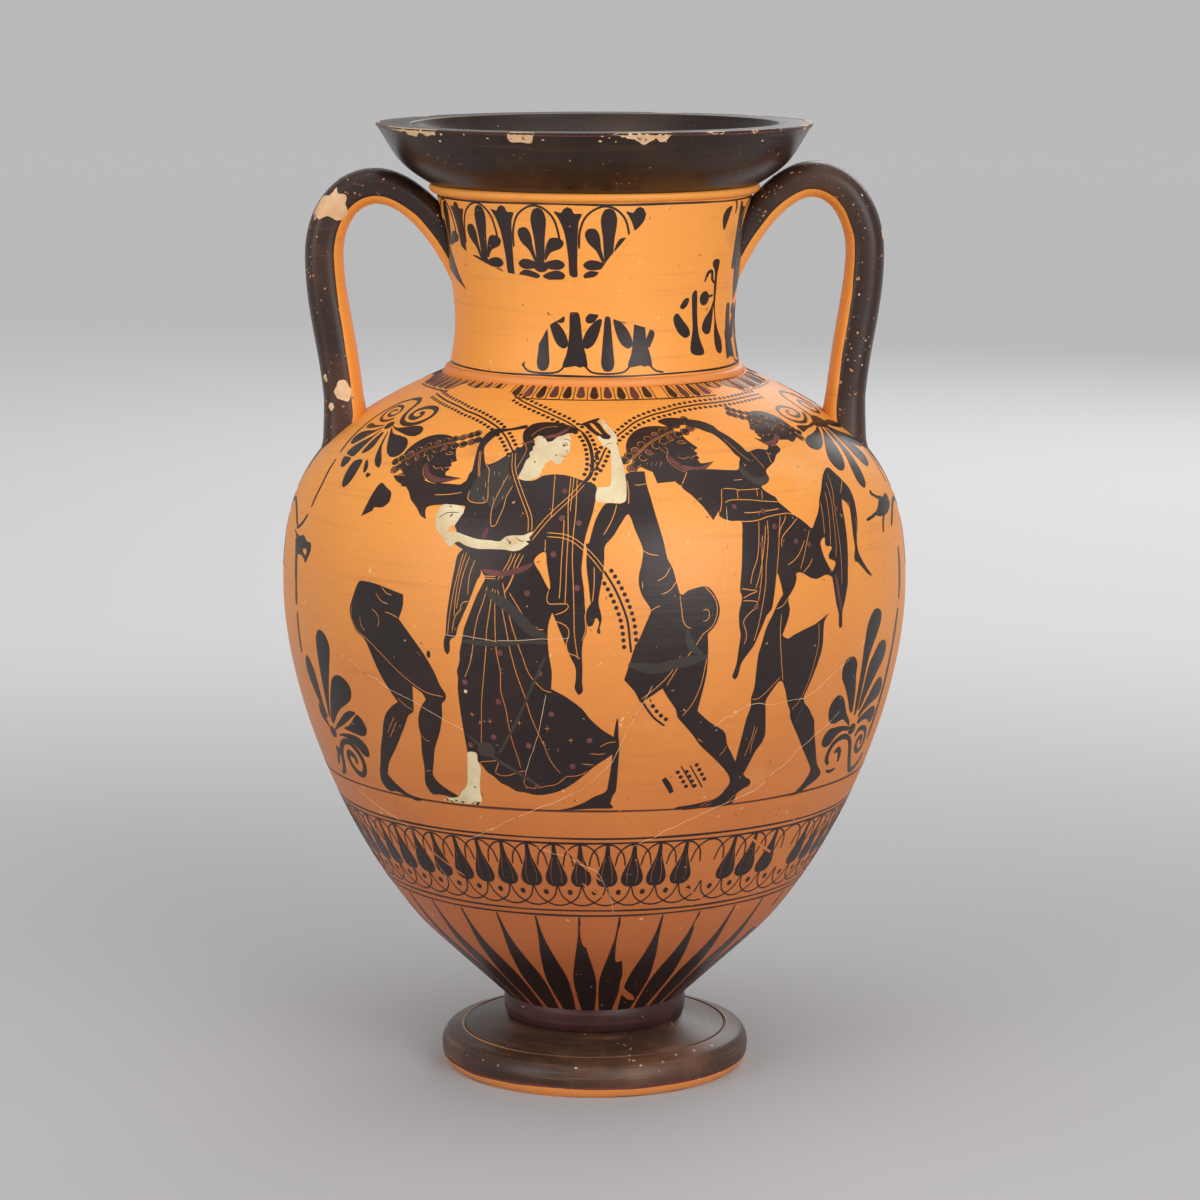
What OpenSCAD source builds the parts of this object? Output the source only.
/* [Foot] */
// Diameter of the disc foot at its rounded edge, mm
foot_d = 136.8; // [120:0.2:150]
// Height of the foot's rounded edge, mm
foot_edge_h = 14.5; // [10:0.5:20]
// Rise of the foot's top from its edge to the stem, mm
foot_rise = 7.5; // [3:0.5:14]
// How far the foot's resting ring stands in from its edge, mm
foot_edge_in = 3.6; // [2:0.2:6]
// Width of the ring that the foot rests on, mm
foot_ring_w = 12; // [8:0.5:18]
// Height of the hollow under the foot, at its middle, mm
foot_hollow_h = 12; // [8:0.5:16]
// Depth of the turned groove round the foot's top, mm
foot_groove_depth = 0.8; // [0.3:0.1:1.5]
// Width of the turned groove round the foot's top, mm
foot_groove_w = 1.6; // [1:0.1:3]
// Distance of the groove in from the foot's edge, mm
foot_groove_in = 10; // [8:0.5:14]

/* [Stem] */
// Diameter of the stem between foot and body, over its fillet, mm
stem_d = 80; // [68:0.5:92]
// Height of the stem, mm
stem_h = 10; // [6:0.5:14]
// Thickness of the clay fillet round the stem, mm
stem_fillet_t = 4; // [2.5:0.5:6]

/* [Body] */
// Greatest diameter of the body, mm
body_d = 272; // [220:1:330]
// Height of the body below its greatest width, mm
belly_h = 184; // [150:1:222]
// Height of the straight cone at the bottom of the body, mm
cone_h = 30.4; // [24:0.4:37]
// Spread of the straight cone at the bottom of the body, on the radius, mm
cone_spread = 32; // [24:1:36]
// Height of the body above its greatest width, mm
shoulder_h = 92; // [75:1:112]
// Wall thickness of the body, mm
body_wall = 5.5; // [4:0.1:7]
// Thickness of the body's floor, mm
floor_t = 7; // [5:0.5:9]

/* [Neck] */
// Diameter of the neck at its base, mm
neck_base_d = 126; // [105:1:140]
// Diameter of the neck at its top, mm
neck_top_d = 136; // [120:1:150]
// How far the neck's waist is drawn in from its base, mm
neck_waist_in = 3; // [1:0.5:6]
// Height of the neck, mm
neck_h = 77; // [62:1:94]
// Wall thickness of the neck, mm
neck_wall = 6.5; // [5:0.1:8]
// Height of the fillet round the base of the neck, mm
neck_fillet_h = 3.4; // [2.4:0.2:5]
// How far the fillet stands out from the neck, mm
neck_fillet_out = 3; // [2:0.2:4]

/* [Mouth] */
// Diameter of the mouth at its rim, mm
mouth_d = 188.6; // [165:1:210]
// Height of the mouth above its ridge, mm
mouth_h = 26; // [20:0.5:32]
// Width of the flat top of the rim, mm
rim_w = 15.3; // [10:0.1:18]
// Height of the ridge between neck and mouth, mm
ridge_h = 4; // [3:0.2:6]
// How far the ridge stands out from the top of the neck, mm
ridge_out = 2.4; // [1.5:0.1:4]

/* [Handles] */
// Distance of a handle's middle line from the axis at its widest, mm
handle_reach = 117; // [105:1:132]
// Distance from the axis where a handle meets the shoulder, mm
handle_root_r = 108; // [90:1:116]
// Height of a handle's attachment below the top of the neck, mm
handle_neck_drop = 27; // [20:1:34]
// Height of a handle's top bend above its attachment, along its middle line, mm
handle_bend_h = 30; // [22:1:34]
// Distance of a handle's top bend from the axis, mm
handle_bend_r = 94; // [86:1:100]
// Thickness of a handle, mm
handle_t = 16.5; // [13:0.5:20]
// Width of a handle, mm
handle_w = 24; // [18:0.5:30]
// How much higher the right handle's bend stands than the left one's, mm
right_handle_rise = 3; // [0:0.5:5]

/* [Hidden] */
$fn = 96;

clay = "#b4632f";
gloss = "#1f1b1a";
added_red = "#5a2a2e";

foot_r = foot_d / 2;
stem_r = stem_d / 2;
core_r = stem_r - stem_fillet_t;
body_r = body_d / 2;
neck_base_r = neck_base_d / 2;
neck_top_r = neck_top_d / 2;
fillet_r = neck_base_r + neck_fillet_out;
ridge_r = neck_top_r + ridge_out;
mouth_r = mouth_d / 2;

stem_z = foot_edge_h + foot_rise;
belly_z = stem_z + stem_h;
waist_z = belly_z + belly_h;
neck_z = waist_z + shoulder_h;
ridge_z = neck_z + neck_h;
mouth_z = ridge_z + ridge_h;
top_z = mouth_z + mouth_h;

curve_steps = 24;
edge_steps = 12;
handle_steps = 14;
handle_sides = 20;
buried = 8;

// Point at t on a cubic curve through four control points
function bezier(p, t) =
    pow(1 - t, 3) * p[0] + 3 * t * pow(1 - t, 2) * p[1]
    + 3 * t * t * (1 - t) * p[2] + pow(t, 3) * p[3];

// Direction of travel at t on a cubic curve
function bezier_slope(p, t) =
    3 * pow(1 - t, 2) * (p[1] - p[0]) + 6 * t * (1 - t) * (p[2] - p[1])
    + 3 * t * t * (p[3] - p[2]);

// Points of a cubic curve, first to last
function curve(p, steps) = [for (i = [0:steps]) bezier(p, i / steps)];

// The same curve moved to its left by a distance, which is inwards for a wall drawn upwards
function inner_curve(p, steps, wall) =
    [for (i = [0:steps])
        let (d = bezier_slope(p, i / steps), n = [-d[1], d[0]] / norm(d))
        bezier(p, i / steps) + wall * n];

function reversed(list) = [for (i = [len(list) - 1:-1:0]) list[i]];

// Outline of the body's wall below its greatest width, as radius and height
cone_top = [stem_r + cone_spread, belly_z + cone_h];
cone_dir = (cone_top - [stem_r, belly_z]) / norm(cone_top - [stem_r, belly_z]);
belly_arc = [cone_top, cone_top + 0.22 * belly_h * cone_dir,
             [body_r, waist_z - 0.3 * belly_h], [body_r, waist_z]];

// Outline of the shoulder, from the greatest width to the neck
shoulder_arc = [[body_r, waist_z], [body_r, waist_z + 0.52 * shoulder_h],
                [fillet_r + 0.775 * (body_r - fillet_r), waist_z + 0.75 * shoulder_h],
                [fillet_r, neck_z]];

// Outline of the neck, drawn in at a waist and flaring to the mouth
neck_arc = [[neck_base_r, neck_z], [neck_base_r - neck_waist_in, neck_z + 0.3 * neck_h],
            [neck_base_r - neck_waist_in - 2.2, neck_z + 0.22 * neck_h], [neck_top_r, ridge_z]];

// Outline of the ridge between neck and mouth
ridge_arc = [[neck_top_r, ridge_z], [ridge_r + 0.9, ridge_z + 0.15 * ridge_h],
             [ridge_r + 0.9, mouth_z - 0.15 * ridge_h], [ridge_r, mouth_z]];

// Outline of the mouth, swelling from the ridge to the rim
mouth_arc = [[ridge_r, mouth_z], [ridge_r + 0.68 * (mouth_r - ridge_r), mouth_z + 0.36 * mouth_h],
             [ridge_r + 0.62 * (mouth_r - ridge_r), mouth_z + 0.48 * mouth_h], [mouth_r, top_z]];

// Height on the shoulder at a distance from the axis, and the neck's radius at a height
function shoulder_height(r) = lookup(r, [for (p = reversed(curve(shoulder_arc, curve_steps))) p]);
function neck_radius(z) = lookup(z, [for (p = curve(neck_arc, curve_steps)) [p[1], p[0]]]);

module foot() {
    // Disc foot with a rounded edge, a hollow underside and a core that carries the body
    edge_arc = [[foot_r - foot_edge_in, 0], [foot_r + 0.7, 0.24 * foot_edge_h],
                [foot_r + 1.1, 0.8 * foot_edge_h], [foot_r - 3.4, foot_edge_h]];
    ring_in = foot_r - foot_edge_in - foot_ring_w;
    edge_top = edge_arc[3];
    slope = foot_rise / (edge_top[0] - core_r);
    groove_r = foot_r - foot_groove_in;
    groove_z = foot_edge_h + (edge_top[0] - groove_r) * slope;
    color(gloss)
    difference() {
        rotate_extrude()
        polygon(concat(
            [[0, foot_hollow_h], [ring_in - 7, 0.66 * foot_hollow_h], [ring_in, 0]],
            curve(edge_arc, edge_steps),
            [[core_r, stem_z], [core_r, belly_z], [0, belly_z]]));
        rotate_extrude()
        polygon([[groove_r - foot_groove_w / 2, groove_z + 2],
                 [groove_r - foot_groove_w / 2, groove_z - foot_groove_depth],
                 [groove_r + foot_groove_w / 2, groove_z - foot_groove_depth],
                 [groove_r + foot_groove_w / 2, groove_z + 2]]);
    }
}

module foot_fillet() {
    // Ring of clay that closes the joint between foot and body
    bulge = [[stem_r - 0.6, stem_z], [stem_r + 0.5, stem_z + 0.25 * stem_h],
             [stem_r + 0.5, belly_z - 0.25 * stem_h], [stem_r - 0.3, belly_z]];
    color(added_red)
    rotate_extrude()
    polygon(concat([[core_r, belly_z], [core_r, stem_z]], curve(bulge, edge_steps)));
}

module belly() {
    // Lower body: a closed floor, a straight cone and a curve to the greatest width
    inside = inner_curve(belly_arc, curve_steps, body_wall);
    floor_run = (floor_t - body_wall * cone_dir[0]) / cone_dir[1];
    floor_edge = [stem_r - body_wall * cone_dir[1] + floor_run * cone_dir[0], belly_z + floor_t];
    color(clay)
    rotate_extrude()
    polygon(concat(
        [[0, belly_z], [stem_r, belly_z]],
        curve(belly_arc, curve_steps),
        reversed(inside),
        [floor_edge, [0, belly_z + floor_t]]));
}

module shoulder() {
    // Upper body: from the greatest width in to the collar that carries the neck
    collar_r = neck_base_r - neck_wall;
    inside = [for (p = inner_curve(shoulder_arc, curve_steps, body_wall))
                 if (p[0] > collar_r + 1 && p[1] < neck_z - 1) p];
    color(clay)
    rotate_extrude()
    polygon(concat(
        curve(shoulder_arc, curve_steps),
        [[collar_r, neck_z], [collar_r, inside[len(inside) - 1][1]]],
        reversed(inside)));
}

module neck_fillet() {
    // Raised ring that covers the joint of shoulder and neck
    bulge = [[fillet_r, neck_z], [fillet_r + 0.4, neck_z + 0.5 * neck_fillet_h],
             [fillet_r - 0.2, neck_z + neck_fillet_h],
             [neck_radius(neck_z + neck_fillet_h), neck_z + neck_fillet_h]];
    color(added_red)
    difference() {
        rotate_extrude()
        polygon(concat(
            [[neck_base_r - neck_wall / 2, neck_z + neck_fillet_h],
             [neck_base_r - neck_wall / 2, neck_z]],
            curve(bulge, edge_steps)));
        neck_filled();
    }
}

module neck_filled() {
    // The neck's outer shape with nothing hollow, which trims what meets the neck
    rotate_extrude()
    polygon(concat([[0, neck_z]], curve(neck_arc, curve_steps), [[0, ridge_z]]));
}

module shoulder_filled() {
    // The shoulder's outer shape with nothing hollow, which trims what meets the shoulder
    rotate_extrude()
    polygon(concat([[0, waist_z]], curve(shoulder_arc, curve_steps), [[0, neck_z]]));
}

module mouth_filled() {
    // The outer shape of the ridge and mouth with nothing hollow, which trims what comes near them
    rotate_extrude()
    polygon(concat([[0, ridge_z]], curve(ridge_arc, edge_steps), curve(mouth_arc, edge_steps),
                   [[0, top_z]]));
}

module neck() {
    // Separately thrown neck
    color(clay)
    rotate_extrude()
    polygon(concat(
        curve(neck_arc, curve_steps),
        [for (p = reversed(inner_curve(neck_arc, curve_steps, neck_wall)))
            [p[0], min(ridge_z, max(neck_z, p[1]))]]));
}

module mouth_fillet() {
    // Ridge at the top of the neck, under the mouth
    color(clay)
    rotate_extrude()
    polygon(concat(
        [[neck_top_r - neck_wall, mouth_z], [neck_top_r - neck_wall, ridge_z]],
        curve(ridge_arc, edge_steps)));
}

module mouth() {
    // Flaring mouth with a flat top
    throat = [[mouth_r - rim_w, top_z], [mouth_r - rim_w - 2, top_z - 0.3 * mouth_h],
              [neck_top_r - neck_wall + 3, mouth_z + 0.4 * mouth_h],
              [neck_top_r - neck_wall, mouth_z]];
    color(gloss)
    rotate_extrude()
    polygon(concat(curve(mouth_arc, edge_steps), curve(throat, edge_steps)));
}

// Middle line of a handle, from inside the neck over its bend and down into the shoulder
function handle_line(rise) =
    let (
        start_z = ridge_z - handle_neck_drop,
        start = [neck_radius(start_z) - buried, start_z - buried],
        bend = [handle_bend_r, start_z + handle_bend_h + rise],
        side = [handle_reach, start_z + rise / 2],
        root = [handle_root_r, shoulder_height(handle_root_r) - 2 * buried],
        climb = [start, start + [8, 20], bend - [14, 0], bend],
        over = [bend, bend + [0.6 * (handle_reach - handle_bend_r), 0], side + [0, 16], side],
        fall = [side, side - [0, 26], root + [0, 46], root])
    concat(curve(climb, handle_steps),
           [for (i = [1:handle_steps]) bezier(over, i / handle_steps)],
           [for (i = [1:handle_steps]) bezier(fall, i / handle_steps)]);

// Thickness and width along a handle, as shares of the full size at shares of its length
function handle_share(s) = lookup(s, [[0, 0.82], [0.2, 0.85], [0.45, 0.98], [0.62, 1],
                                      [0.85, 1.02], [0.95, 1.2], [1, 1.5]]);

// One ring of a handle's rounded strap section, at a point of its middle line
function strap_ring(at, along, thick, wide) =
    let (out = [along[1], -along[0]] / norm(along))
    [for (k = [0:handle_sides - 1])
        let (
            a = 360 * k / handle_sides,
            u = sign(cos(a)) * pow(abs(cos(a)), 0.72) * thick / 2,
            v = sign(sin(a)) * pow(abs(sin(a)), 0.72) * wide / 2)
        [at[0] + u * out[0], v, at[1] + u * out[1]]];

module strap_handle(rise) {
    // Pulled strap swept along its middle line and trimmed where it meets the neck and shoulder
    line = handle_line(rise);
    last = len(line) - 1;
    rings = [for (i = [0:last])
        let (share = handle_share(i / last))
        strap_ring(line[i], line[min(i + 1, last)] - line[max(i - 1, 0)],
                   handle_t * share, handle_w * share)];
    points = [for (ring = rings) for (p = ring) p];
    walls = [for (i = [0:last - 1]) for (k = [0:handle_sides - 1])
        let (
            a = i * handle_sides + k,
            b = i * handle_sides + (k + 1) % handle_sides)
        for (face = [[a, b, b + handle_sides], [a, b + handle_sides, a + handle_sides]]) face];
    near_cap = [for (k = [handle_sides - 1:-1:0]) k];
    far_cap = [for (k = [0:handle_sides - 1]) last * handle_sides + k];
    difference() {
        polyhedron(points, concat(walls, [near_cap, far_cap]));
        neck_filled();
        mouth_filled();
        shoulder_filled();
    }
}

module left_handle() {
    color(gloss)
    mirror([1, 0, 0])
    strap_handle(0);
}

module right_handle() {
    color(gloss)
    strap_handle(right_handle_rise);
}

foot();
foot_fillet();
belly();
shoulder();
neck_fillet();
neck();
mouth_fillet();
mouth();
left_handle();
right_handle();
